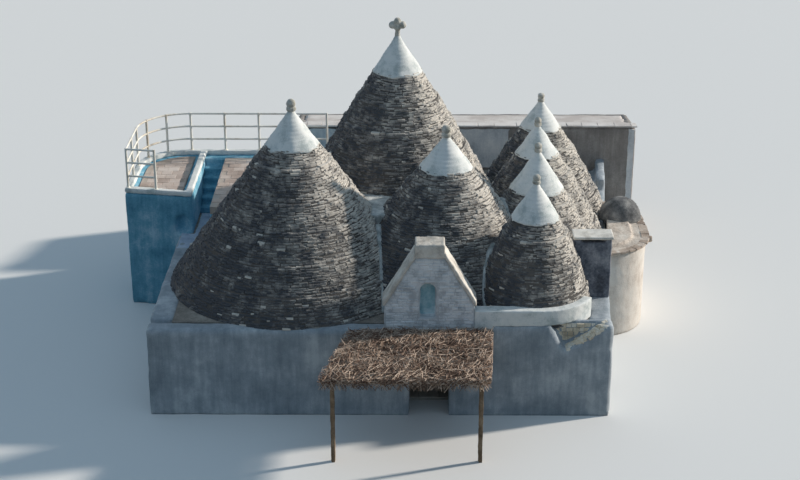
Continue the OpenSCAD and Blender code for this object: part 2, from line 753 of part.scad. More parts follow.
placed() front_wall_left();
placed() front_wall_right();
placed() entrance_arch();
placed() front_block_right();
placed() left_wall();
placed() right_wall();
placed() ground_floor();
placed() roof_deck();
placed() inner_wall_left();
placed() inner_wall_cross();
placed() inner_wall_rear();
placed() alcove_arcade();
placed() alcove_walls();
placed() cone_left();
placed() cone_middle();
placed() cone_rear();
placed() cone_row_first();
placed() cone_row_second();
placed() cone_row_third();
placed() cone_row_fourth();
placed() limewashed_caps();
placed() pinnacles();
placed() valley_saddles();
placed() limewashed_band();
placed() gable_wall();
placed() gable_coping();
placed() gable_block();
placed() terrace_wall();
placed() terrace_podium();
placed() terrace_floor();
placed() terrace_kerb();
placed() terrace_stair();
placed() railing_left();
placed() railing_corner();
placed() railing_back();
placed() wing_front_wall();
placed() wing_back_wall();
placed() wing_end_walls();
placed() wing_roof();
placed() annex_wall();
placed() annex_roof();
placed() chimney_stack();
placed() chimney_slab();
placed() pergola_frame();
placed() pergola_poles();
placed() pergola_brushwood();
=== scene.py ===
import math
import random
import bmesh
import bpy
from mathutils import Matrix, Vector, noise
from mathutils.bvhtree import BVHTree


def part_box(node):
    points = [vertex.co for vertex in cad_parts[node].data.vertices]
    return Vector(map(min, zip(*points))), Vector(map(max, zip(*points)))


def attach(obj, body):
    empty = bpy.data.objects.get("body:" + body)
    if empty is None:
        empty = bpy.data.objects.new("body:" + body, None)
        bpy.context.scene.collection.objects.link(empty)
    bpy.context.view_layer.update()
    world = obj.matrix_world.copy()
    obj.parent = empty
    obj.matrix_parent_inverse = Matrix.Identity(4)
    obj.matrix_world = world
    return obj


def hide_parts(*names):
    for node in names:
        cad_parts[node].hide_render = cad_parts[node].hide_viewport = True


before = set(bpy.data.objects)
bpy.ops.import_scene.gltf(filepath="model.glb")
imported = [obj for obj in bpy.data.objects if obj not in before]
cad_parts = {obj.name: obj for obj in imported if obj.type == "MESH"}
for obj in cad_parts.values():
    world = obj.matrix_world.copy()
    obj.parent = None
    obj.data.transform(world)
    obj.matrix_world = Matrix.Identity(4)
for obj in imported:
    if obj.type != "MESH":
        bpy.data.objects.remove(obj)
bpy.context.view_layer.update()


# Plastered walls.
# The outer walls are limestone rubble, 75 cm thick, under a coat of lime plaster
# that was trowelled on by hand, so it waves, rounds every corner and holds rain stains.
PLASTER_CELL = 0.075
STAIN_WEIGHT = 1.5
GRAIN_WEIGHT = 0.5
CLOUD_ROUGHNESS = 0.62
STREAK_STRETCH = (7.0, 7.0, 0.7)
DARK_END = 0.22
PALE_END = 0.80
GRAIN_HEIGHT = 0.02
SEAM = 0.0002
RIPPLE_SIZE = 0.3
RIPPLE_SHARE = 0.45
RIPPLE_SHIFT = Vector((7, 3, 5))


def mineral(name, colours, patch=1.2, grain=0.05, rough=0.9, relief=0.5, streaks=0.3, tone=0.0):
    """A mineral surface in three colours, by stains, grain, rain streaks and a tone per face, which on the
    cones also holds painted light and shade.
    """
    material = bpy.data.materials.new(name)
    material.use_nodes = True
    nodes = material.node_tree.nodes
    links = material.node_tree.links
    shader = nodes["Principled BSDF"]
    place = nodes.new("ShaderNodeTexCoord")

    def cloud(scale, detail, stretch=(1, 1, 1)):
        shrink = nodes.new("ShaderNodeMapping")
        shrink.inputs["Scale"].default_value = stretch
        texture = nodes.new("ShaderNodeTexNoise")
        texture.inputs["Scale"].default_value = scale
        texture.inputs["Detail"].default_value = detail
        texture.inputs["Roughness"].default_value = CLOUD_ROUGHNESS
        links.new(place.outputs["Object"], shrink.inputs["Vector"])
        links.new(shrink.outputs["Vector"], texture.inputs["Vector"])
        return texture.outputs["Fac"]

    fine = cloud(1 / grain, detail=8)
    causes = [(cloud(1 / patch, detail=5), STAIN_WEIGHT), (fine, GRAIN_WEIGHT)]
    if streaks:
        causes.append((cloud(1.0, detail=4, stretch=STREAK_STRETCH), streaks))
    if tone:
        own = nodes.new("ShaderNodeAttribute")
        own.attribute_name = "tone"
        causes.append((own.outputs["Fac"], tone))
    amount = None
    for value, weight in causes:
        total = nodes.new("ShaderNodeMath")
        total.operation = "MULTIPLY_ADD"
        links.new(value, total.inputs[0])
        total.inputs[1].default_value = weight
        total.inputs[2].default_value = 0.5 - sum(share for _, share in causes) / 2
        if amount:
            links.new(amount, total.inputs[2])
        amount = total.outputs[0]
    ramp = nodes.new("ShaderNodeValToRGB")
    ramp.color_ramp.elements[0].position = DARK_END
    ramp.color_ramp.elements[0].color = (*colours[0], 1)
    ramp.color_ramp.elements[1].position = PALE_END
    ramp.color_ramp.elements[1].color = (*colours[2], 1)
    ramp.color_ramp.elements.new(0.5).color = (*colours[1], 1)
    links.new(amount, ramp.inputs["Fac"])
    links.new(ramp.outputs["Color"], shader.inputs["Base Color"])
    bump = nodes.new("ShaderNodeBump")
    bump.inputs["Strength"].default_value = relief
    bump.inputs["Distance"].default_value = GRAIN_HEIGHT
    links.new(fine, bump.inputs["Height"])
    links.new(bump.outputs["Normal"], shader.inputs["Normal"])
    shader.inputs["Roughness"].default_value = rough
    return material


def set_piece(name, mesh, material, slot, *nodes, smooth=True):
    """Puts a finished mesh in the scene as a piece of the house, in place of the named solids."""
    mesh.name = name
    mesh.materials.clear()
    mesh.materials.append(material)
    mesh.polygons.foreach_set("use_smooth", [smooth] * len(mesh.polygons))
    piece = bpy.data.objects.new(name, mesh)
    bpy.context.scene.collection.objects.link(piece)
    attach(piece, "root")
    if nodes:
        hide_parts(*nodes)


def coat(name, nodes, material, slot, cell, swell, wave, wave_size):
    """One hand-laid coat over the named solids, which it joins, rounds at the corners and waves."""
    solids = bmesh.new()
    for node in nodes:
        solids.from_mesh(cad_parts[node].data)
    bmesh.ops.remove_doubles(solids, verts=solids.verts, dist=SEAM)
    solids.normal_update()
    for vertex in solids.verts:
        vertex.co += vertex.normal * swell
    rough = bpy.data.meshes.new(name)
    solids.to_mesh(rough)
    solids.free()
    holder = bpy.data.objects.new(name, rough)
    bpy.context.scene.collection.objects.link(holder)
    merge = holder.modifiers.new("merge", "REMESH")
    merge.mode = "VOXEL"
    merge.voxel_size = cell
    graph = bpy.context.evaluated_depsgraph_get()
    mesh = bpy.data.meshes.new_from_object(holder.evaluated_get(graph))
    bpy.data.objects.remove(holder)
    normals = [vertex.normal.copy() for vertex in mesh.vertices]
    for vertex, normal in zip(mesh.vertices, normals):
        broad = noise.noise(vertex.co / wave_size)
        small = noise.noise(vertex.co / (wave_size * RIPPLE_SIZE) + RIPPLE_SHIFT)
        vertex.co += normal * wave * (broad + RIPPLE_SHARE * small)
        vertex.co.z = max(vertex.co.z, 0.0)
    set_piece(name, mesh, material, slot, *nodes)


wall_plaster = mineral("wall_plaster", ((0.24, 0.29, 0.33), (0.35, 0.40, 0.45), (0.56, 0.61, 0.64)),
                       patch=0.8, grain=0.02, relief=0.4, streaks=0.7)
coat("plastered_walls", ("front_wall_left", "front_wall_right", "entrance_arch", "front_block_right",
                         "left_wall", "right_wall"),
     wall_plaster, "wall_plaster", cell=PLASTER_CELL, swell=0.012, wave=0.016, wave_size=0.6)


# Broken corner.
# The taller block has lost a wedge of masonry near its right end. The beige stones
# of the wall's core lie bare on the slope and behind it; their pale cream is partly painted sunlight.
BREAK_LEFT = 1.47
BREAK_LOW = 1.11
BREAK_RIGHT = 0.13
BREAK_DROP = 0.64
BREAK_BACK = 0.43
BREAK_FRONT = 0.14
LOOSE_STONES = 130
LOOSE_SPREAD = (-0.05, 0.97)
LOOSE_LEAN = ((-0.7, 0.1), (-0.4, 0.2))
CORE_WIDTH = (0.08, 0.19)
CORE_DEPTH = (0.05, 0.09)
CORE_HEIGHT = (0.07, 0.15)
CORE_COURSE = (0.07, 0.12)
CORE_RUN = (0.09, 0.2)
CORE_JOINT = 0.008
FIRST_BED = 0.02
LAST_BED = 0.05
FACE_SINK = 0.03
KNOCKED = 0.7
RIGHT = Vector((1, 0, 0))
FRONT = Vector((0, -1, 0))
UP = Vector((0, 0, 1))
SLAB_FACES = [(0, 1, 2, 3), (0, 4, 5, 1), (1, 5, 6, 2), (2, 6, 7, 3), (3, 7, 4, 0),
              (4, 8, 9, 5), (5, 9, 10, 6), (6, 10, 11, 7), (7, 11, 8, 4), (8, 11, 10, 9)]


def new_pile():
    """Points, faces and a tone for each face, gathered before they become one mesh."""
    return {"points": [], "faces": [], "tones": []}


def add_to(pile, points, faces, tone):
    """Puts one shape's points and faces on a pile, in one tone."""
    start = len(pile["points"])
    pile["points"].extend(points)
    pile["faces"].extend([[start + i for i in face] for face in faces])
    pile["tones"].extend([tone] * len(faces))


def pile_mesh(name, pile):
    """Makes one mesh of a pile, with the tones that its material reads."""
    mesh = bpy.data.meshes.new(name)
    mesh.from_pydata(pile["points"], [], pile["faces"])
    tones = mesh.attributes.new("tone", "FLOAT", "FACE")
    tones.data.foreach_set("value", pile["tones"])
    mesh.update()
    return mesh


def slab_points(base, across, out, up, size, edge, mason):
    """A stone's twelve points: back ring, front ring and chamfered face, with knocked corners."""
    width, depth, height = size
    points = []
    for reach, inset in ((0.0, 0.0), (depth - edge, 0.0), (depth, edge)):
        for side, top in ((-1, 0), (1, 0), (1, 1), (-1, 1)):
            rise = height - inset if top else inset
            point = base + across * side * (width / 2 - inset) + out * reach + up * rise
            if reach:
                point += Vector([mason.uniform(-1, 1) for _ in range(3)]) * edge * KNOCKED
            points.append(point)
    return points


def add_stone(pile, base, across, out, up, size, edge, mason, tone=None):
    """Puts one chamfered stone on a pile, in a tone of its own unless one is given."""
    points = slab_points(base, across, out, up, size, edge, mason)
    if tone is None:
        tone = mason.random()
    add_to(pile, points, SLAB_FACES, tone)


# Bare beige core stones, made pale cream as painted sunlight on the wedge
rubble = mineral("rubble", ((0.55, 0.46, 0.34), (0.86, 0.76, 0.60), (0.95, 0.90, 0.80)), patch=0.4,
                 grain=0.03, relief=0.6, streaks=0, tone=0.5)
break_low, break_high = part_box("front_block_right")
knocker = random.Random(21)
break_stones = new_pile()
for _ in range(LOOSE_STONES):
    share = knocker.uniform(*LOOSE_SPREAD)
    spot = Vector((break_high[0] - BREAK_LOW + (BREAK_LOW - BREAK_RIGHT) * share,
                   break_low[1] + knocker.uniform(BREAK_FRONT, BREAK_BACK),
                   break_high[2] - BREAK_DROP * (1 - abs(share))))
    turn = knocker.uniform(0, math.pi)
    out = Vector((knocker.uniform(*LOOSE_LEAN[0]), knocker.uniform(*LOOSE_LEAN[1]), 1)).normalized()
    across = Vector((math.cos(turn), math.sin(turn), 0)).cross(out).normalized()
    size = (knocker.uniform(*CORE_WIDTH), knocker.uniform(*CORE_DEPTH), knocker.uniform(*CORE_HEIGHT))
    up = out.cross(across)
    base = spot - (up * size[2] + out * size[1]) / 2
    add_stone(break_stones, base, across, out, up, size, edge=0.014, mason=knocker)
level = FIRST_BED
while level < BREAK_DROP - LAST_BED:
    course = knocker.uniform(*CORE_COURSE)
    x = break_high[0] - BREAK_LOW - (BREAK_LEFT - BREAK_LOW) * level / BREAK_DROP
    while x < break_high[0] - BREAK_LOW + (BREAK_LOW - BREAK_RIGHT) * level / BREAK_DROP:
        width = knocker.uniform(*CORE_RUN)
        base = Vector((x + width / 2, break_low[1] + BREAK_BACK + FACE_SINK,
                       break_high[2] - BREAK_DROP + level))
        size = (width - CORE_JOINT, knocker.uniform(*CORE_DEPTH), course - CORE_JOINT)
        add_stone(break_stones, base, RIGHT, FRONT, UP, size, edge=0.012, mason=knocker)
        x += width
    level += course
set_piece("broken_corner", pile_mesh("broken_corner", break_stones), rubble, "wall_plaster", smooth=False)


# Stone floor.
# Flat limestone paving slabs are laid close together on the rooms' floor; they
# are worn smooth, and each has its own tone.
REAR = Vector((0, 1, 0))
DOWN = Vector((0, 0, -1))
LEVEL_SLACK = 0.002
SLAB_SINK = 0.004
SLAB_RISE = (-0.003, 0.002)
INNER_WALLS = ("inner_wall_left", "inner_wall_cross", "inner_wall_rear", "alcove_arcade", "alcove_walls")


def first_below(tree, x, y, start):
    """The level of the first surface under a starting height, or None over open air."""
    hit = tree.ray_cast(Vector((x, y, start)), DOWN)
    return hit[0].z if hit[0] is not None else None


def pave(name, node, neighbours, material, slot, start, size, joint, thickness, seed):
    """Square slabs in staggered rows, wherever the node's top lies open under a starting height."""
    paver = random.Random(seed)
    solids = bmesh.new()
    for other in (node, *neighbours):
        solids.from_mesh(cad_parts[other].data)
    tree = BVHTree.FromBMesh(solids)
    solids.free()
    low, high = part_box(node)
    pile = new_pile()
    for row in range(int((high[1] - low[1]) / size)):
        for column in range(int((high[0] - low[0]) / size) + 1):
            x = low[0] + (column + 0.5 * (row % 2)) * size
            y = low[1] + (row + 0.5) * size
            corners = [(x + i * size / 2, y + j * size / 2) for i in (-1, 1) for j in (-1, 1)]
            levels = [first_below(tree, *corner, start) for corner in corners]
            if any(z is None or abs(z - high[2]) > LEVEL_SLACK for z in levels):
                continue
            base = Vector((x, y - size / 2 + joint / 2, high[2] - SLAB_SINK + paver.uniform(*SLAB_RISE)))
            slab = (size - joint, thickness, size - joint)
            add_stone(pile, base, RIGHT, UP, REAR, slab, edge=0.005, mason=paver)
    set_piece(name, pile_mesh(name, pile), material, slot, smooth=False)


flag_stone = mineral("flag_stone", ((0.30, 0.27, 0.23), (0.50, 0.45, 0.38), (0.66, 0.60, 0.52)),
                     patch=0.8, grain=0.03, rough=0.7, relief=0.2, streaks=0, tone=0.5)
floor_bed = mineral("floor_bed", ((0.20, 0.18, 0.15), (0.33, 0.30, 0.26), (0.42, 0.39, 0.34)), relief=0.3)
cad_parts["ground_floor"].data.materials[0] = floor_bed
pave("floor_flags", "ground_floor", INNER_WALLS, flag_stone, "floor_tile",
     start=1.5, size=0.48, joint=0.012, thickness=0.018, seed=3)


# Inner walls and flat roof.
# Arched rubble walls inside carry the valleys between the cones. The flat roof
# between the cones' feet is rammed rubble under trodden lime mortar.
inner_lime = mineral("inner_lime", ((0.40, 0.38, 0.34), (0.62, 0.60, 0.55), (0.76, 0.74, 0.70)), patch=0.7)
for inner in INNER_WALLS:
    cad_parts[inner].data.materials[0] = inner_lime
roof_mortar = mineral("roof_mortar", ((0.11, 0.105, 0.10), (0.22, 0.21, 0.19), (0.40, 0.37, 0.33)),
                      patch=0.5, relief=0.6, streaks=0)
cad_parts["roof_deck"].data.materials[0] = roof_mortar


# Cones.
# Each roof is a cone of thin limestone slabs, laid dry in bands of courses that end in a
# narrow ledge. The slabs are darker towards the foot, and painted light and shade makes them
# paler on the side facing the lamp and darker on the side away from it, at the left and front.

# Foot is the radius at the roof's edge, rise the height of the tip, swell how far the face bellies
CONES = {
    "cone_left": {"foot": 3.10, "rise": 4.39, "swell": 0.0},
    "cone_middle": {"foot": 2.80, "rise": 3.67, "swell": 0.0},
    "cone_rear": {"foot": 3.06, "rise": 5.35, "swell": 0.13},
    "cone_row_first": {"foot": 1.40, "rise": 3.13, "swell": 0.5},
    "cone_row_second": {"foot": 1.64, "rise": 3.13, "swell": 0.35},
    "cone_row_third": {"foot": 1.86, "rise": 3.13, "swell": 0.2},
    "cone_row_fourth": {"foot": 1.86, "rise": 3.13, "swell": 0.2},
}
LIFT = 0.62
LEDGE = 0.045
COURSE = 0.052
STONE_WIDTH = 0.14
STONE_SHARE = (0.45, 1.6)
STONE_DEPTH = 0.22
STONE_EDGE = 0.009
STONE_SET = (-0.018, 0.012)
STONE_TWIST = (-0.07, 0.07)
STONE_DIP = (-0.16, 0.0)
STONE_TILT = (-0.05, 0.05)
BED_LIFT = (0.006, 0.014)
SIDE_JOINT = (0.001, 0.010)
BED_JOINT = (0.000, 0.008)
COURSE_SHARE = (0.75, 1.3)
FEWEST_STONES = 8
OVERHANG = 0.008
COURSE_WAVE = 0.024
WAVES_ROUND = 1.6
WAVES_UP = 0.7
WAVE_FADE = 0.4
CUT_BACK = 0.03
TOP_SLACK = 0.001
LIMED_SHARE = 0.018
LIMED_TONE = 1.6
TONE_SPREAD = 0.55
DARKER_FOOT = 0.7
# Painted light and shade: a slab's tone rises on the side facing the lamp and falls on the side away from it
PAINTED_SUN_SHADE = 0.8
PAINTED_SUN_SIDE = Vector((0.92, 0.39, 0.0))


def measure_cone(node, cone):
    """Finds a cone's axis and the levels of its bands from the flat ring at the top of its shell."""
    low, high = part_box(node)
    top = [v.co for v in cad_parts[node].data.vertices if v.co.z > high[2] - TOP_SLACK]
    cone["x"] = (min(p.x for p in top) + max(p.x for p in top)) / 2
    cone["y"] = (min(p.y for p in top) + max(p.y for p in top)) / 2
    cone["base"] = low[2]
    cone["cap"] = high[2]
    whole = high[2] - low[2]
    cone["levels"] = [k * LIFT for k in range(math.floor(whole / LIFT - 0.5) + 1)] + [whole]


def smooth_radius(cone, height):
    """A cone's radius at a height above its foot, without its ledges."""
    share = height / cone["rise"]
    return cone["foot"] * (1 - share) * (1 + cone["swell"] * share)


def radius_at(cone, z):
    """A cone's radius at a level: each band but the last stands out by the ledge at its top."""
    height = max(0.0, z - cone["base"])
    levels = cone["levels"]
    if height >= levels[-1]:
        share = (height - levels[-1]) / (cone["rise"] - levels[-1])
        return max(0.0, smooth_radius(cone, levels[-1]) * (1 - share))
    band = max(k for k, level in enumerate(levels) if level <= height)
    share = (height - levels[band]) / (levels[band + 1] - levels[band])
    ledge = LEDGE if band < len(levels) - 2 else 0.0
    return (smooth_radius(cone, levels[band]) * (1 - share)
            + (smooth_radius(cone, levels[band + 1]) + ledge) * share)


def inside_other(own, point, margin):
    """Whether a point lies inside the mass of a cone that isn't one of its own."""
    for other in CONES.values():
        if other not in own and point.z >= other["base"]:
            gap = math.hypot(point.x - other["x"], point.y - other["y"])
            if gap < radius_at(other, point.z) - margin:
                return True
    return False


def lay_course(pile, cone, z, height, mason):
    """One ring of thin slabs, left out where it would lie inside another cone."""
    axis = Vector((cone["x"], cone["y"], 0))
    radius = radius_at(cone, z) + OVERHANG
    count = max(FEWEST_STONES, round(2 * math.pi * radius / STONE_WIDTH))
    shares = [mason.uniform(*STONE_SHARE) for _ in range(count)]
    turn = mason.uniform(0, 2 * math.pi)
    fade = min(1.0, (z - cone["base"]) / WAVE_FADE, (cone["cap"] - z) / WAVE_FADE)
    climb = (z - cone["base"]) / (cone["cap"] - cone["base"]) - 0.5
    for share in shares:
        angle = 2 * math.pi * share / sum(shares)
        middle = turn + angle / 2
        turn += angle
        away = Vector((math.cos(middle), math.sin(middle), 0))
        reach = radius + mason.uniform(*STONE_SET)
        if inside_other((cone,), axis + away * reach + Vector((0, 0, z + height / 2)), CUT_BACK):
            continue
        wave = COURSE_WAVE * fade * noise.noise(away * WAVES_ROUND + Vector((0, 0, z * WAVES_UP)) + axis)
        twisted = middle + mason.uniform(*STONE_TWIST)
        out = Vector((math.cos(twisted), math.sin(twisted), mason.uniform(*STONE_DIP)))
        across = Vector((-math.sin(twisted), math.cos(twisted), mason.uniform(*STONE_TILT)))
        base = axis + away * (reach - STONE_DEPTH) + Vector((0, 0, z + wave + mason.uniform(*BED_LIFT)))
        size = (2 * reach * math.sin(angle / 2) - mason.uniform(*SIDE_JOINT), STONE_DEPTH,
                height - mason.uniform(*BED_JOINT))
        # Random tone, darker towards the foot, plus painted light and shade by how the slab faces the lamp
        tone = 0.5 + TONE_SPREAD * (mason.random() - 0.5) + DARKER_FOOT * climb + PAINTED_SUN_SHADE * away.dot(PAINTED_SUN_SIDE)
        if mason.random() < LIMED_SHARE:
            tone = LIMED_TONE
        add_stone(pile, base, across, out, UP, size, edge=STONE_EDGE, mason=mason, tone=tone)


def lay_cone(name, cone, seed):
    """Whole courses in each band, from the cone's foot to its cap."""
    mason = random.Random(seed)
    pile = new_pile()
    for low, high in zip(cone["levels"], cone["levels"][1:]):
        heights = [mason.uniform(*COURSE_SHARE) for _ in range(round((high - low) / COURSE))]
        z = cone["base"] + low
        for height in heights:
            course = height * (high - low) / sum(heights)
            lay_course(pile, cone, z, course, mason)
            z += course
    set_piece(name, pile_mesh(name, pile), cone_stone, "dry_stone", smooth=False)


# The dark bluish end of the ramp is reached on the painted shade side, the pale end on the painted sunlit
# side
cone_stone = mineral("cone_stone", ((0.06, 0.07, 0.085), (0.31, 0.30, 0.285), (0.70, 0.66, 0.60)),
                     patch=0.35, grain=0.02, relief=0.7, streaks=0.15, tone=0.36)
cone_core = mineral("cone_core", ((0.04, 0.04, 0.04), (0.09, 0.085, 0.08), (0.14, 0.13, 0.12)), relief=0.6)
for node, cone in CONES.items():
    measure_cone(node, cone)
for number, (node, cone) in enumerate(CONES.items()):
    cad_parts[node].data.materials[0] = cone_core
    lay_cone(node + "_stones", cone, seed=40 + number)


# Limewashed caps.
# The top courses of each cone are bedded in mortar and painted with lime, coat over
# coat, so they only just show through, and the lime runs down over the stones below.
CAP_LEAN = 0.034
CAP_RINGS = 34
CAP_SIDES = 60
CAP_LAP = 0.01
CAP_HEM = 0.07
HEM_FADE = 8
RUNS_ROUND = (3.1, 9)
FINE_RUN = 0.35
CAP_COURSE = 0.085
CAP_COURSE_RISE = 0.005
CAP_LUMPS = 0.022
LUMPS_PER_M = 3.5
TIP_R = 0.07
TIP_CUT = 0.04


def lime_cap(name, cone):
    """A cap's surface ring by ring, with a ragged lower edge and courses under the lime."""
    axis = Vector((cone["x"], cone["y"], 0))
    foot = cone["cap"] - CAP_LAP
    tip = cone["base"] + cone["rise"] - TIP_CUT
    points = []
    for ring in range(CAP_RINGS + 1):
        share = ring / CAP_RINGS
        for k in range(CAP_SIDES):
            angle = 2 * math.pi * k / CAP_SIDES
            away = Vector((math.cos(angle), math.sin(angle), 0))
            run = 0.5 + 0.5 * noise.noise(away * RUNS_ROUND[0] + axis)
            run += FINE_RUN * noise.noise(away * RUNS_ROUND[1] + axis)
            z = foot + (tip - foot) * share - CAP_HEM * max(0.0, run) * (1 - share) ** HEM_FADE
            arm = max(TIP_R, radius_at(cone, z) + CAP_LEAN)
            arm += CAP_COURSE_RISE * math.cos(2 * math.pi * z / CAP_COURSE)
            arm += CAP_LUMPS * noise.noise((axis + away * arm + Vector((0, 0, z))) * LUMPS_PER_M)
            points.append(axis + away * arm + Vector((0, 0, z)))
    faces = [tuple(range(CAP_SIDES - 1, -1, -1)), tuple(range(CAP_RINGS * CAP_SIDES, len(points)))]
    for ring in range(CAP_RINGS):
        for k in range(CAP_SIDES):
            here = ring * CAP_SIDES + k
            beside = ring * CAP_SIDES + (k + 1) % CAP_SIDES
            faces.append((here, beside, beside + CAP_SIDES, here + CAP_SIDES))
    mesh = bpy.data.meshes.new(name)
    mesh.from_pydata(points, [], faces)
    mesh.update()
    set_piece(name, mesh, lime_coat, "limewash", "limewashed_caps")


lime_coat = mineral("lime_coat", ((0.50, 0.56, 0.56), (0.78, 0.81, 0.80), (0.87, 0.88, 0.86)), patch=0.4,
                    grain=0.03, relief=0.3, streaks=0.35)
for node, cone in CONES.items():
    lime_cap(node.replace("cone", "cap"), cone)


# Pinnacles.
# A carved limestone ball stands on each cone's tip, and a cross with round arms
# on the tallest; they are limewashed too, and weathered darker than the caps.
worn_lime = mineral("worn_lime", ((0.28, 0.28, 0.24), (0.52, 0.51, 0.46), (0.76, 0.75, 0.71)), patch=0.15,
                    grain=0.02, relief=0.5)
coat("pinnacle_stones", ("pinnacles",), worn_lime, "limewash",
     cell=0.016, swell=0.0, wave=0.010, wave_size=0.09)


# Valleys.
# Where cones meet, a fillet of lime mortar runs down the valley and throws the rain off,
# thickest at the pass; more mortar fills the pits where three or four cones meet.
FILLET_R = 0.042
FILLET_FLARE = 1.6
LATE_FLARE = 4
FILLET_STEP = 0.06
FILLET_LIFT = 0.02
PIT_MARGIN = 0.02
WOBBLES_PER_M = 4
UPRIGHT = 0.01
VALLEYS = (("cone_left", "cone_middle"), ("cone_left", "cone_rear"), ("cone_middle", "cone_rear"),
           ("cone_middle", "cone_row_first"), ("cone_row_first", "cone_row_second"),
           ("cone_row_second", "cone_row_third"), ("cone_row_third", "cone_row_fourth"),
           ("cone_rear", "cone_row_fourth"), ("cone_rear", "cone_row_third"),
           ("cone_middle", "cone_row_second"))


def tube(pile, path, radius, sides, tone, wobble=0.0, flare=0.0):
    """A closed round bar along a path of points, which may thicken or thin towards its end."""
    points = []
    for k, station in enumerate(path):
        along = (path[min(k + 1, len(path) - 1)] - path[max(k - 1, 0)]).normalized()
        side = along.cross(UP)
        if side.length < UPRIGHT:
            side = along.cross(RIGHT)
        side.normalize()
        up = side.cross(along)
        thick = radius * (1 + flare * (k / (len(path) - 1)) ** LATE_FLARE)
        for corner in range(sides):
            angle = 2 * math.pi * corner / sides
            arm = thick + wobble * noise.noise(station * WOBBLES_PER_M + Vector((corner, 0, 0)))
            points.append(station + side * math.cos(angle) * arm + up * math.sin(angle) * arm)
    last = (len(path) - 1) * sides
    faces = [tuple(range(sides)), tuple(range(last + sides - 1, last - 1, -1))]
    for k in range(len(path) - 1):
        for corner in range(sides):
            here = k * sides + corner
            beside = k * sides + (corner + 1) % sides
            faces.append((here, here + sides, beside + sides, beside))
    add_to(pile, points, faces, tone)


def valley_path(one, two, side):
    """The line where two cones' faces meet, on one side of the line between their axes."""
    gap = Vector((two["x"] - one["x"], two["y"] - one["y"], 0))
    along = gap.normalized()
    across = Vector((-along.y, along.x, 0)) * side
    path = []
    z = one["base"]
    while radius_at(one, z) + radius_at(two, z) > gap.length:
        height = z - one["base"]
        reach = smooth_radius(one, height) + LEDGE / 2
        other_reach = smooth_radius(two, height) + LEDGE / 2
        step = (reach ** 2 - other_reach ** 2 + gap.length ** 2) / (2 * gap.length)
        aside = math.sqrt(max(0.0, reach ** 2 - step ** 2))
        point = Vector((one["x"], one["y"], z)) + along * step + across * aside
        if not inside_other((one, two), point, PIT_MARGIN):
            path.append(point + Vector((0, 0, FILLET_LIFT)))
        z += FILLET_STEP
    return path


fillets = new_pile()
for first, second in VALLEYS:
    for side in (-1, 1):
        path = valley_path(CONES[first], CONES[second], side)
        if len(path) > 2:
            tube(fillets, path, FILLET_R, sides=8, tone=0.5, wobble=0.03, flare=FILLET_FLARE)
valley_lime = mineral("valley_lime", ((0.24, 0.27, 0.27), (0.50, 0.53, 0.53), (0.76, 0.78, 0.76)),
                      patch=0.25, grain=0.02, relief=0.5)
set_piece("valley_fillets", pile_mesh("valley_fillets", fillets), valley_lime, "limewash")
coat("valley_lumps", ("valley_saddles",), valley_lime, "limewash",
     cell=0.035, swell=0.01, wave=0.02, wave_size=0.2)


# Limewashed band.
# A low wall of mortar and stone keeps the rainwater round the first small cone;
# it is limewashed and rounded by hand.
coat("roof_band", ("limewashed_band",), lime_coat, "limewash",
     cell=0.03, swell=0.004, wave=0.012, wave_size=0.35)


# Gable.
# The gable over the doorway is coursed rubble that shows through its thin lime, with
# a small arched niche. Thick slabs lie on its slopes, and a squared block closes the top.
GABLE_COURSE = (0.06, 0.09)
GABLE_RUN = (0.09, 0.26)
GABLE_DEPTH = (0.036, 0.052)
GABLE_JOINT = 0.012
GABLE_SIDE = 0.03
GABLE_HEAD = 0.1
LEAST_STONE = 0.06
NICHE_HALF = 0.23
NICHE_SHIFT = 0.04
NICHE_FLOOR = 0.35
NICHE_TOP = 1.20
NICHE_BACK = 0.20
ARCH_STEPS = 6
NICHE_COAT = 0.004
SLOPE_RISE = 1.20
WASH_STEP = 0.07
WASH_WANDERS = 4.5
WASH_KEY = 0.03


def wash(name, outline, out, material, slot, thickness, ragged):
    """A thin coat of lime over a flat face, from its corners, with an edge that wanders."""
    edge = []
    for k, here in enumerate(outline):
        ahead = outline[(k + 1) % len(outline)]
        steps = max(1, round((ahead - here).length / WASH_STEP))
        for step in range(steps):
            point = here.lerp(ahead, step / steps)
            aside = (ahead - here).cross(out).normalized()
            edge.append(point - aside * ragged * (0.5 + 0.5 * noise.noise(point * WASH_WANDERS)))
    count = len(edge)
    points = [p - out * WASH_KEY for p in edge] + [p + out * thickness for p in edge]
    faces = [tuple(range(count - 1, -1, -1)), tuple(range(count, 2 * count))]
    faces += [(k, (k + 1) % count, count + (k + 1) % count, count + k) for k in range(count)]
    mesh = bpy.data.meshes.new(name)
    mesh.from_pydata(points, [], faces)
    mesh.update()
    set_piece(name, mesh, material, slot, smooth=False)


coping_stone = mineral("coping_stone", ((0.42, 0.39, 0.35), (0.67, 0.63, 0.57), (0.83, 0.80, 0.74)),
                       patch=0.35, grain=0.03, relief=0.5)
limed_rubble = mineral("limed_rubble", ((0.52, 0.55, 0.58), (0.77, 0.80, 0.83), (0.88, 0.89, 0.90)),
                       patch=0.3, grain=0.02, relief=0.6, streaks=0.3, tone=0.3)
coat("gable_bed", ("gable_wall",), limed_rubble, "wall_plaster",
     cell=0.03, swell=0.002, wave=0.012, wave_size=0.3)
coat("gable_slabs", ("gable_coping",), coping_stone, "coping_stone",
     cell=0.022, swell=0.003, wave=0.014, wave_size=0.16)
coat("gable_top", ("gable_block",), coping_stone, "coping_stone",
     cell=0.022, swell=0.003, wave=0.012, wave_size=0.16)
gable_low, gable_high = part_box("gable_wall")
gable_middle = (gable_low[0] + gable_high[0]) / 2
gable_half = (gable_high[0] - gable_low[0]) / 2
top_half = (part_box("gable_block")[1][0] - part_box("gable_block")[0][0]) / 2
gable_mason = random.Random(6)
gable_stones = new_pile()
z = gable_low[2] + FIRST_BED
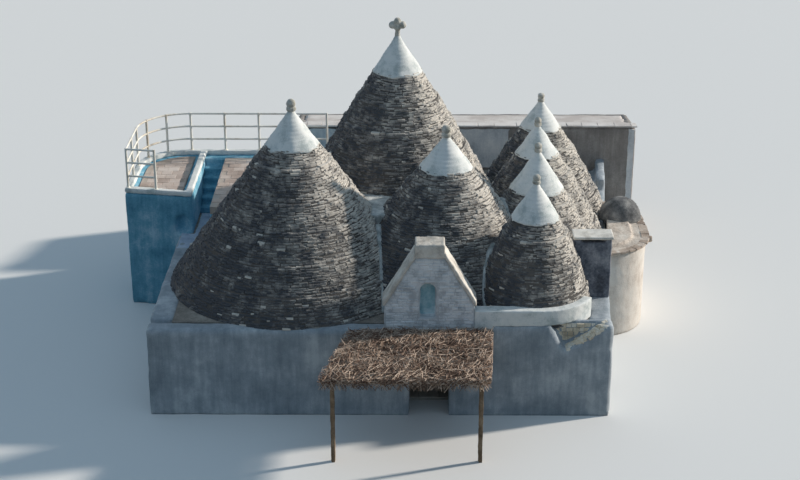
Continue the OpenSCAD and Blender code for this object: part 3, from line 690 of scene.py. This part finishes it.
while z < gable_high[2] - GABLE_HEAD:
    course = gable_mason.uniform(*GABLE_COURSE)
    climb = max(0.0, z + course - gable_low[2] - (gable_high[2] - gable_low[2] - SLOPE_RISE))
    half = gable_half - climb * (gable_half - top_half) / SLOPE_RISE - GABLE_SIDE
    x = gable_middle - half
    while x < gable_middle + half - LEAST_STONE:
        width = min(gable_mason.uniform(*GABLE_RUN), gable_middle + half - x)
        beside_niche = (x + width <= gable_middle - NICHE_HALF
                        or x >= gable_middle + NICHE_HALF - 2 * NICHE_SHIFT)
        if beside_niche or not gable_low[2] + NICHE_FLOOR - course < z < gable_low[2] + NICHE_TOP:
            base = Vector((x + width / 2, gable_low[1] + FACE_SINK, z))
            size = (width - GABLE_JOINT, gable_mason.uniform(*GABLE_DEPTH), course - GABLE_JOINT)
            add_stone(gable_stones, base, RIGHT, FRONT, UP, size, edge=0.010, mason=gable_mason)
        x += width
    z += course
set_piece("gable_courses", pile_mesh("gable_courses", gable_stones), limed_rubble, "wall_plaster",
          smooth=False)
niche_mid = gable_middle - NICHE_SHIFT
niche_r = NICHE_HALF - NICHE_SHIFT
niche_arch = [Vector((niche_mid - niche_r, 0, NICHE_FLOOR)), Vector((niche_mid + niche_r, 0, NICHE_FLOOR))]
spring = Vector((niche_mid, 0, NICHE_TOP - niche_r))
for k in range(ARCH_STEPS + 1):
    angle = math.pi * k / ARCH_STEPS
    niche_arch.append(spring + Vector((math.cos(angle), 0, math.sin(angle))) * niche_r)
lift_to_niche = Vector((0, gable_low[1] + NICHE_BACK - NICHE_COAT, gable_low[2]))
niche_blue = mineral("niche_blue", ((0.20, 0.42, 0.50), (0.36, 0.58, 0.65), (0.62, 0.76, 0.80)), patch=0.3)
wash("niche_wash", [p + lift_to_niche for p in niche_arch], FRONT, niche_blue, "blue_limewash",
     thickness=0.018, ragged=0.0)


# Terrace.
# The raised terrace stands on plastered walls painted with lime and a little blue.
# A white kerb runs round clay floor tiles, and a narrow stair sinks between its halves.
SLOT_LENGTH = 2.50
SLOT_BEND = 2.0
SLOT_MOUTH = 0.30
SLOT_EDGE = 0.02
BAY_WIDTH = 0.34
BAY_BACK = (1.48, 1.46)
blue_lime = mineral("blue_lime", ((0.07, 0.24, 0.36), (0.15, 0.40, 0.55), (0.42, 0.64, 0.76)), patch=0.9,
                    grain=0.04, relief=0.3, streaks=0.55)
coat("terrace_plaster", ("terrace_wall", "terrace_podium"), blue_lime, "blue_limewash",
     cell=PLASTER_CELL, swell=0.008, wave=0.014, wave_size=0.7)
coat("stair_plaster", ("terrace_stair",), blue_lime, "blue_limewash",
     cell=0.03, swell=0.0, wave=0.008, wave_size=0.25)
coat("kerb_plaster", ("terrace_kerb",), lime_coat, "limewash",
     cell=0.034, swell=0.004, wave=0.010, wave_size=0.3)
clay_tile = mineral("clay_tile", ((0.36, 0.28, 0.24), (0.57, 0.47, 0.41), (0.72, 0.63, 0.57)), patch=1.0,
                    grain=0.03, rough=0.75, relief=0.15, streaks=0, tone=0.35)
tile_bed = mineral("tile_bed", ((0.34, 0.28, 0.24), (0.48, 0.41, 0.36), (0.58, 0.52, 0.46)))
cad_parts["terrace_floor"].data.materials[0] = tile_bed
pave("terrace_tiles", "terrace_floor", ("terrace_kerb", "cone_left", "cone_rear", "terrace_stair"),
     clay_tile, "floor_tile", start=9.0, size=0.30, joint=0.010, thickness=0.014, seed=8)
stair_low, stair_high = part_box("terrace_stair")
stair_foot = stair_low[1]
slot_left = stair_low[0] + SLOT_EDGE
slot_right = stair_high[0] - SLOT_EDGE
slot_corners = ((stair_low[0] - BAY_WIDTH, stair_foot - SLOT_LENGTH),
                (stair_low[0] + SLOT_MOUTH, stair_foot - SLOT_LENGTH),
                (slot_right, stair_foot - SLOT_BEND),
                (slot_right, stair_foot + SLOT_EDGE),
                (slot_left, stair_foot + SLOT_EDGE),
                (slot_left, stair_foot - BAY_BACK[0]),
                (stair_low[0] - BAY_WIDTH, stair_foot - BAY_BACK[1]))
# Pale blue-lilac wash over the stair slot: painted shade on the limewash in the sunken slot
slot_painted_shade = mineral("slot_painted_shade", ((0.28, 0.36, 0.48), (0.46, 0.55, 0.68), (0.68, 0.75, 0.84)), patch=0.5)
wash("slot_shade_wash", [Vector((x, y, stair_low[2])) for x, y in slot_corners], UP, slot_painted_shade,
     "blue_limewash", thickness=0.012, ragged=0.06)


# Railing.
# Round steel posts stand on the kerb on small flanges, with three bent rails welded
# between them, all under many coats of cream paint.
POST_R = 0.028
RAIL_HEIGHTS = (0.30, 0.64, 0.98)
RAIL_TUBE = 0.027
POST_TUBE = 0.033
FLANGE = 0.065
FLANGE_T = 0.025
POST_SINK = 0.01
POST_CROWN = 0.02
FRONT_SLANT = 0.125
CORNER_STEPS = 12
LEFT_BAYS = 2
CORNER_BAYS = 3
BACK_BAYS = 4
rail_paint = mineral("rail_paint", ((0.58, 0.48, 0.36), (0.92, 0.90, 0.82), (0.95, 0.94, 0.89)), patch=0.9,
                     grain=0.02, rough=0.4, relief=0.1, streaks=0)
left_low, left_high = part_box("railing_left")
bend_low, bend_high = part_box("railing_corner")
back_low, back_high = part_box("railing_back")
rail_foot = left_low[2]
rail_h = left_high[2] - left_low[2]
west = bend_low[0] + POST_R
bend_r = bend_high[0] - POST_R - west
bend_middle = Vector((bend_high[0] - POST_R, bend_low[1] + POST_R, 0))
front_turn = left_low[1] + POST_R + FRONT_SLANT
corner_ways = [math.radians(180 - 90 * k / CORNER_STEPS) for k in range(CORNER_STEPS + 1)]
rail_line = [Vector((left_high[0] - POST_R, left_low[1] + POST_R, 0)), Vector((west, front_turn, 0))]
rail_line += [bend_middle + Vector((math.cos(way), math.sin(way), 0)) * bend_r for way in corner_ways]
rail_line.append(Vector((back_high[0] - POST_R, back_high[1] - POST_R, 0)))
left_run = bend_middle.y - front_turn
back_run = back_high[0] - POST_R - bend_middle.x
post_feet = [rail_line[0]]
post_feet += [Vector((west, front_turn + left_run * k / LEFT_BAYS, 0)) for k in range(LEFT_BAYS)]
post_feet += [rail_line[2 + k * CORNER_STEPS // CORNER_BAYS] for k in range(CORNER_BAYS + 1)]
for k in range(1, BACK_BAYS + 1):
    post_feet.append(Vector((bend_middle.x + back_run * k / BACK_BAYS, back_high[1] - POST_R, 0)))
rail_tubes = new_pile()
for height in RAIL_HEIGHTS:
    level = Vector((0, 0, rail_foot + rail_h * height))
    tube(rail_tubes, [p + level for p in rail_line], RAIL_TUBE, sides=10, tone=0.5)
for foot in post_feet:
    stem = foot + Vector((0, 0, rail_foot - POST_SINK))
    top = stem + Vector((0, 0, rail_h))
    tube(rail_tubes, [stem, top, top + Vector((0, 0, POST_CROWN))], POST_TUBE, sides=10, tone=0.5)
    tube(rail_tubes, [stem, stem + Vector((0, 0, FLANGE_T))], FLANGE, sides=12, tone=0.5)
set_piece("railing", pile_mesh("railing", rail_tubes), rail_paint, "rail_paint",
          "railing_left", "railing_corner", "railing_back", smooth=False)


# Rear wing.
# The flat-roofed wing behind the cones is rubble under a thin grey render that has
# partly come off; its left part and one corner are limed, and flat slabs edge the roof.
PALE_START = 0.03
PALE_SHARE = 0.63
PALE_FOOT = 2.2
PALE_TOP = 0.06
QUOIN = (0.24, 0.02)
QUOIN_FOOT = 0.04
EDGE_LENGTH = (0.35, 0.75)
EDGE_DEPTH = 0.46
EDGE_T = 0.045
EDGE_OVERHANG = 0.05
EDGE_OVERRUN = 0.03
EDGE_SINK = (-0.012, 0.0)
EDGE_JOINT = 0.012
EDGE_FALL = Vector((0, 1, -0.10))
wing_render = mineral("wing_render", ((0.17, 0.16, 0.155), (0.26, 0.245, 0.235), (0.40, 0.38, 0.365)),
                      patch=1.3, grain=0.04, relief=0.7, streaks=0.7)
pale_wash = mineral("pale_wash", ((0.42, 0.46, 0.50), (0.62, 0.66, 0.70), (0.80, 0.82, 0.83)), patch=0.8,
                    grain=0.04, relief=0.4, streaks=0.5)
roof_lime = mineral("roof_lime", ((0.56, 0.51, 0.48), (0.74, 0.70, 0.67), (0.86, 0.83, 0.80)), patch=1.0,
                    relief=0.3, streaks=0, tone=0.3)
coat("wing_walls", ("wing_front_wall", "wing_back_wall", "wing_end_walls"), wing_render, "wing_render",
     cell=0.095, swell=0.008, wave=0.015, wave_size=0.6)
coat("wing_cover", ("wing_roof",), roof_lime, "wing_render",
     cell=0.085, swell=0.006, wave=0.012, wave_size=0.8)
wing_low, wing_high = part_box("wing_front_wall")
pale_end = wing_low[0] + (wing_high[0] - wing_low[0]) * PALE_SHARE
limed_parts = {"wing_wash": (wing_low[0] + PALE_START, pale_end, PALE_FOOT),
               "wing_quoin": (wing_high[0] - QUOIN[0], wing_high[0] - QUOIN[1], QUOIN_FOOT)}
for name, (start, end, bottom) in limed_parts.items():
    top = wing_high[2] - PALE_TOP
    corners = ((start, bottom), (end, bottom), (end, top), (start, top))
    wash(name, [Vector((x, wing_low[1], z)) for x, z in corners], FRONT, pale_wash, "wing_render",
         thickness=0.026, ragged=0.05)
edger = random.Random(14)
edge_slabs = new_pile()
x = wing_low[0] - EDGE_OVERRUN
while x < wing_high[0]:
    width = min(edger.uniform(*EDGE_LENGTH), wing_high[0] + EDGE_OVERRUN - x)
    base = Vector((x + width / 2, wing_low[1] - EDGE_OVERHANG, wing_high[2] + edger.uniform(*EDGE_SINK)))
    size = (width - EDGE_JOINT, EDGE_T, EDGE_DEPTH)
    add_stone(edge_slabs, base, RIGHT, UP, EDGE_FALL, size, edge=0.010, mason=edger)
    x += width
set_piece("wing_edge", pile_mesh("wing_edge", edge_slabs), roof_lime, "wing_render", smooth=False)


# Oven annex.
# A round-ended wall in cream lime render stands against the right wall. Thin brown stones
# edge its mortar cover, a stone spout sheds the rain, and a dark rubble dome closes the oven.
DOME_R = 0.565
DOME_SHIFT = (0.73, 0.12)
DOME_FOOT = 0.08
DOME_COURSE = 0.075
DOME_COURSE_RISE = 0.010
DOME_LUMPS = 0.02
DOME_LUMPS_PER_M = 5
EAVE_R = 1.30
EAVE_TURN = 3
EAVE_START = 0.1
EAVE_WIDTH = (0.17, 0.30)
EAVE_DEPTH = 0.20
EAVE_T = 0.055
EAVE_TAIL = 0.16
EAVE_LIFT = 0.035
EAVE_JOINT = 0.01
EAVE_UNEVEN = (-0.006, 0.006)
EAVE_REACH = (-0.02, 0.03)
SPOUT_R = 0.087
SPOUT_SHIFT = 0.10
SPOUT_DROP = 0.09
SPOUT_OVER = 0.02
SPOUT_STATIONS = (0.26, 0.06, 0.02, 0.0)
cream_render = mineral("cream_render", ((0.60, 0.54, 0.48), (0.77, 0.72, 0.66), (0.84, 0.81, 0.76)),
                       patch=0.6, relief=0.3, streaks=0.4)
annex_cover = mineral("annex_cover", ((0.34, 0.29, 0.25), (0.64, 0.57, 0.50), (0.80, 0.75, 0.68)), patch=0.4,
                      relief=0.6, streaks=0)
eave_stone = mineral("eave_stone", ((0.24, 0.19, 0.16), (0.42, 0.34, 0.28), (0.60, 0.52, 0.45)), patch=0.4,
                     grain=0.03, relief=0.6, streaks=0, tone=0.5)
dome_stone = mineral("dome_stone", ((0.06, 0.065, 0.07), (0.16, 0.165, 0.17), (0.34, 0.34, 0.33)),
                     patch=0.25, grain=0.025, relief=0.8, streaks=0.2)
coat("annex_plaster", ("annex_wall",), cream_render, "cream_render",
     cell=0.05, swell=0.004, wave=0.014, wave_size=0.5)
coat("annex_mortar", ("annex_roof",), annex_cover, "annex_cover",
     cell=0.035, swell=0.002, wave=0.012, wave_size=0.3)
cover_low, cover_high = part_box("annex_roof")
cover_points = [v.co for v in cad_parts["annex_roof"].data.vertices]
straight_side = [p.y for p in cover_points if p.x > cover_high[0] - SEAM]
round_ends = [Vector((cover_high[0] - EAVE_R, y, 0)) for y in (min(straight_side), max(straight_side))]
dome_middle = round_ends[1] + Vector((*DOME_SHIFT, cover_low[2] + DOME_FOOT))
dome = bmesh.new()
bmesh.ops.create_uvsphere(dome, u_segments=64, v_segments=40, radius=DOME_R)
for vertex in dome.verts:
    ring = DOME_COURSE_RISE * math.cos(2 * math.pi * vertex.co.z / DOME_COURSE)
    vertex.co *= 1 + ring + DOME_LUMPS * noise.noise(vertex.co * DOME_LUMPS_PER_M)
    vertex.co.z = max(vertex.co.z, 0.0)
    vertex.co += dome_middle
dome_mesh = bpy.data.meshes.new("oven_dome")
dome.to_mesh(dome_mesh)
dome.free()
set_piece("oven_dome", dome_mesh, dome_stone, "annex_cover")
eave_path = []
for end, ways in zip(round_ends, (range(-90, 1, EAVE_TURN), range(0, 91, EAVE_TURN))):
    for way in ways:
        angle = math.radians(way)
        eave_path.append(end + Vector((math.cos(angle), math.sin(angle), 0)) * EAVE_R)
eave_mason = random.Random(17)
eave_stones = new_pile()
travel = 0.0
next_stone = EAVE_START
for here, ahead in zip(eave_path, eave_path[1:]):
    stretch = (ahead - here).length
    while next_stone < travel + stretch:
        point = here.lerp(ahead, (next_stone - travel) / stretch)
        across = (ahead - here).normalized()
        out = across.cross(UP)
        width = eave_mason.uniform(*EAVE_WIDTH)
        level = cover_low[2] + EAVE_LIFT + eave_mason.uniform(*EAVE_UNEVEN)
        base = point - out * EAVE_TAIL + Vector((0, 0, level))
        size = (width - EAVE_JOINT, EAVE_DEPTH + eave_mason.uniform(*EAVE_REACH), EAVE_T)
        add_stone(eave_stones, base, across, out, UP, size, edge=0.010, mason=eave_mason)
        next_stone += width
    travel += stretch
set_piece("annex_eave", pile_mesh("annex_eave", eave_stones), eave_stone, "annex_cover", smooth=False)
spout_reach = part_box("annex_wall")[1][0] + SPOUT_OVER
spout_tip = Vector((spout_reach, round_ends[0].y + SPOUT_SHIFT, cover_low[2] - SPOUT_DROP))
spout_path = [spout_tip - Vector((station, 0, 0)) for station in SPOUT_STATIONS]
spout_stone = new_pile()
tube(spout_stone, spout_path, SPOUT_R, sides=16, tone=0.5, wobble=0.006, flare=-0.2)
set_piece("annex_spout", pile_mesh("annex_spout", spout_stone), eave_stone, "coping_stone", smooth=False)


# Chimney.
# The broad stack is rendered rubble, painted dark blue-black as painted shade, with rain
# streaks, under a stone slab on two end blocks that leave a gap for the smoke.
# Dark blue-black render: painted shade on the stack, with rain streaks
chimney_painted_shade = mineral("chimney_painted_shade", ((0.05, 0.06, 0.08), (0.13, 0.15, 0.19), (0.30, 0.32, 0.36)),
                      patch=0.4, relief=0.5, streaks=0.5)
coat("chimney_plaster", ("chimney_stack",), chimney_painted_shade, "chimney_render",
     cell=0.028, swell=0.002, wave=0.010, wave_size=0.3)
slab_lime = mineral("slab_lime", ((0.52, 0.50, 0.46), (0.76, 0.74, 0.69), (0.90, 0.88, 0.84)), patch=0.3,
                    grain=0.03, relief=0.4)
coat("chimney_cover", ("chimney_slab",), slab_lime, "coping_stone",
     cell=0.018, swell=0.001, wave=0.006, wave_size=0.2)


# Pergola.
# Two posts, three beams and rough poles of chestnut carry a loose mat of dry
# brushwood, cut when bare and thrown on by the armful, so its ends stick out.
TWIGS = 5300
FRINGE_TWIGS = 500
TWIG_R = (0.0035, 0.0085)
TWIG_LENGTH = (0.30, 0.90)
TWIG_PARTS = 3
LEAST_PART = 0.02
TWIG_BEND = 0.06
TWIG_SLOPE = (-0.16, 0.16)
TWIG_LIE = math.pi / 2
TWIG_SCATTER = 0.9
MAT_DENSITY = (2.2, 1.4)
FRINGE_HANG = (0.05, 0.13)
FRINGE_DEPTH = (-0.03, 0.06)
FRINGE_SWING = (-0.09, 0.09)
FRINGE_SINK = 0.04
FRINGE_OUT = 0.012
FRINGE_DROP = 0.75
FRINGE_BEND = 0.012
STRAY = 0.07
STRAY_UP = 0.08
rough_wood = mineral("rough_wood", ((0.11, 0.075, 0.05), (0.24, 0.17, 0.11), (0.38, 0.29, 0.20)), patch=0.3,
                     grain=0.02, relief=0.5, streaks=0.5)
twig_bark = mineral("twig_bark", ((0.13, 0.08, 0.06), (0.35, 0.245, 0.18), (0.64, 0.51, 0.41)), patch=0.6,
                    grain=0.02, relief=0.2, streaks=0, tone=0.9)
coat("pergola_timber", ("pergola_frame",), rough_wood, "pergola_wood",
     cell=0.025, swell=0.0, wave=0.010, wave_size=0.25)
coat("pergola_sticks", ("pergola_poles",), rough_wood, "pergola_wood",
     cell=0.018, swell=0.0, wave=0.008, wave_size=0.2)
mat_low, mat_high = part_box("pergola_brushwood")
mat_corners = [v.co.copy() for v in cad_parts["pergola_brushwood"].data.vertices]
mat_front = [p.x for p in mat_corners if p.y < (mat_low[1] + mat_high[1]) / 2]
mat_back = [p.x for p in mat_corners if p.y > (mat_low[1] + mat_high[1]) / 2]
gatherer = random.Random(11)
twigs = new_pile()


def mat_edge(choose, y):
    """The mat's left or right edge at a depth: straight from its front corner to its back one."""
    share = (y - mat_low[1]) / (mat_high[1] - mat_low[1])
    return choose(mat_front) * (1 - share) + choose(mat_back) * share


def throw_twig(middle, step, bend):
    """A crooked twig of three parts, kept near the mat."""
    point = middle - step * (TWIG_PARTS / 2)
    path = []
    for _ in range(TWIG_PARTS + 1):
        spot = point + Vector([gatherer.uniform(-1, 1) for _ in range(3)]) * bend
        spot.y = min(max(spot.y, mat_low[1] - STRAY), mat_high[1])
        spot.x = min(max(spot.x, mat_edge(min, spot.y) - STRAY), mat_edge(max, spot.y) + STRAY)
        spot.z = min(spot.z, mat_high[2] + STRAY_UP)
        path.append(spot)
        point += step
    if min((path[k + 1] - path[k]).length for k in range(TWIG_PARTS)) > LEAST_PART:
        tube(twigs, path, gatherer.uniform(*TWIG_R), sides=3, tone=gatherer.random())


for _ in range(TWIGS):
    y = gatherer.uniform(mat_low[1], mat_high[1])
    middle = Vector((gatherer.uniform(mat_edge(min, y), mat_edge(max, y)), y,
                     mat_low[2] + (mat_high[2] - mat_low[2]) * gatherer.betavariate(*MAT_DENSITY)))
    length = gatherer.uniform(*TWIG_LENGTH)
    heading = gatherer.gauss(TWIG_LIE, TWIG_SCATTER)
    run = Vector((math.cos(heading), math.sin(heading), gatherer.uniform(*TWIG_SLOPE))) * length
    throw_twig(middle, run / TWIG_PARTS, length * TWIG_BEND)
for _ in range(FRINGE_TWIGS):
    x = gatherer.uniform(min(mat_front), max(mat_front))
    hang = gatherer.uniform(*FRINGE_HANG)
    y = mat_low[1] + gatherer.uniform(*FRINGE_DEPTH)
    step = Vector((gatherer.uniform(*FRINGE_SWING), -FRINGE_OUT, -hang * FRINGE_DROP))
    throw_twig(Vector((x, y, mat_high[2] - FRINGE_SINK - hang)), step, FRINGE_BEND)
set_piece("brushwood_mat", pile_mesh("brushwood_mat", twigs), twig_bark, "dry_brush", "pergola_brushwood",
          smooth=False)


# Floor, light and camera.
# The house stands on a plain pale floor that throws little light back on it. A warm lamp
# stands low at the right, a little behind the house, and a pale blue surround fills the shade.
FLOOR_REACH = 400
FLOOR_SEEN = (0.90, 0.90, 0.89)
FLOOR_THROWN = (0.36, 0.34, 0.30)
EYE = (0.5, -38.5, 18.3)
LOOK_DOWN = 22.6
LOOK_LEFT = 0.4
LENS = 71.5
SUN_FROM = (0.887, 0.280, 0.367)
floor_mesh = bpy.data.meshes.new("studio_floor")
floor_mesh.from_pydata([(-FLOOR_REACH, -FLOOR_REACH, 0), (FLOOR_REACH, -FLOOR_REACH, 0),
                        (FLOOR_REACH, FLOOR_REACH, 0), (-FLOOR_REACH, FLOOR_REACH, 0)], [], [(0, 1, 2, 3)])
floor = bpy.data.objects.new("studio_floor", floor_mesh)
bpy.context.scene.collection.objects.link(floor)
floor_paint = bpy.data.materials.new("studio_floor")
floor_paint.use_nodes = True
parts = floor_paint.node_tree.nodes
joins = floor_paint.node_tree.links
pale = parts["Principled BSDF"]
pale.inputs["Base Color"].default_value = (*FLOOR_SEEN, 1)
pale.inputs["Roughness"].default_value = 0.95
dull = parts.new("ShaderNodeBsdfDiffuse")
dull.inputs["Color"].default_value = (*FLOOR_THROWN, 1)
floor_rays = parts.new("ShaderNodeLightPath")
floor_mix = parts.new("ShaderNodeMixShader")
joins.new(floor_rays.outputs["Is Camera Ray"], floor_mix.inputs["Fac"])
joins.new(dull.outputs["BSDF"], floor_mix.inputs[1])
joins.new(pale.outputs["BSDF"], floor_mix.inputs[2])
joins.new(floor_mix.outputs["Shader"], parts["Material Output"].inputs["Surface"])
floor_mesh.materials.append(floor_paint)

# Pale blue surround, which the camera and the gloss see as white
surround = bpy.data.worlds.new("surround")
bpy.context.scene.world = surround
surround.use_nodes = True
air = surround.node_tree.nodes
wires = surround.node_tree.links
sky = air["Background"]
sky.inputs["Color"].default_value = (0.54, 0.77, 1.0, 1)
sky.inputs["Strength"].default_value = 0.35
seen = air.new("ShaderNodeBackground")
seen.inputs["Color"].default_value = (0.96, 0.97, 0.98, 1)
rays = air.new("ShaderNodeLightPath")
either = air.new("ShaderNodeMath")
either.operation = "MAXIMUM"
blend = air.new("ShaderNodeMixShader")
wires.new(rays.outputs["Is Camera Ray"], either.inputs[0])
wires.new(rays.outputs["Is Glossy Ray"], either.inputs[1])
wires.new(either.outputs[0], blend.inputs["Fac"])
wires.new(sky.outputs["Background"], blend.inputs[1])
wires.new(seen.outputs["Background"], blend.inputs[2])
wires.new(blend.outputs["Shader"], air["World Output"].inputs["Surface"])

# Warm lamp
sun_data = bpy.data.lights.new("sun", "SUN")
sun_data.energy = 4.0
sun_data.angle = math.radians(3)
sun_data.color = (1.0, 0.91, 0.80)
sun = bpy.data.objects.new("sun", sun_data)
bpy.context.scene.collection.objects.link(sun)
sun.rotation_euler = Vector(SUN_FROM).to_track_quat("Z", "Y").to_euler()

# Camera at the photo's height and tilt
camera_data = bpy.data.cameras.new("camera")
camera_data.lens = LENS
camera = bpy.data.objects.new("camera", camera_data)
bpy.context.scene.collection.objects.link(camera)
camera.location = EYE
camera.rotation_euler = (math.radians(90 - LOOK_DOWN), 0, math.radians(LOOK_LEFT))
bpy.context.scene.camera = camera
bpy.context.scene.view_settings.view_transform = "Standard"
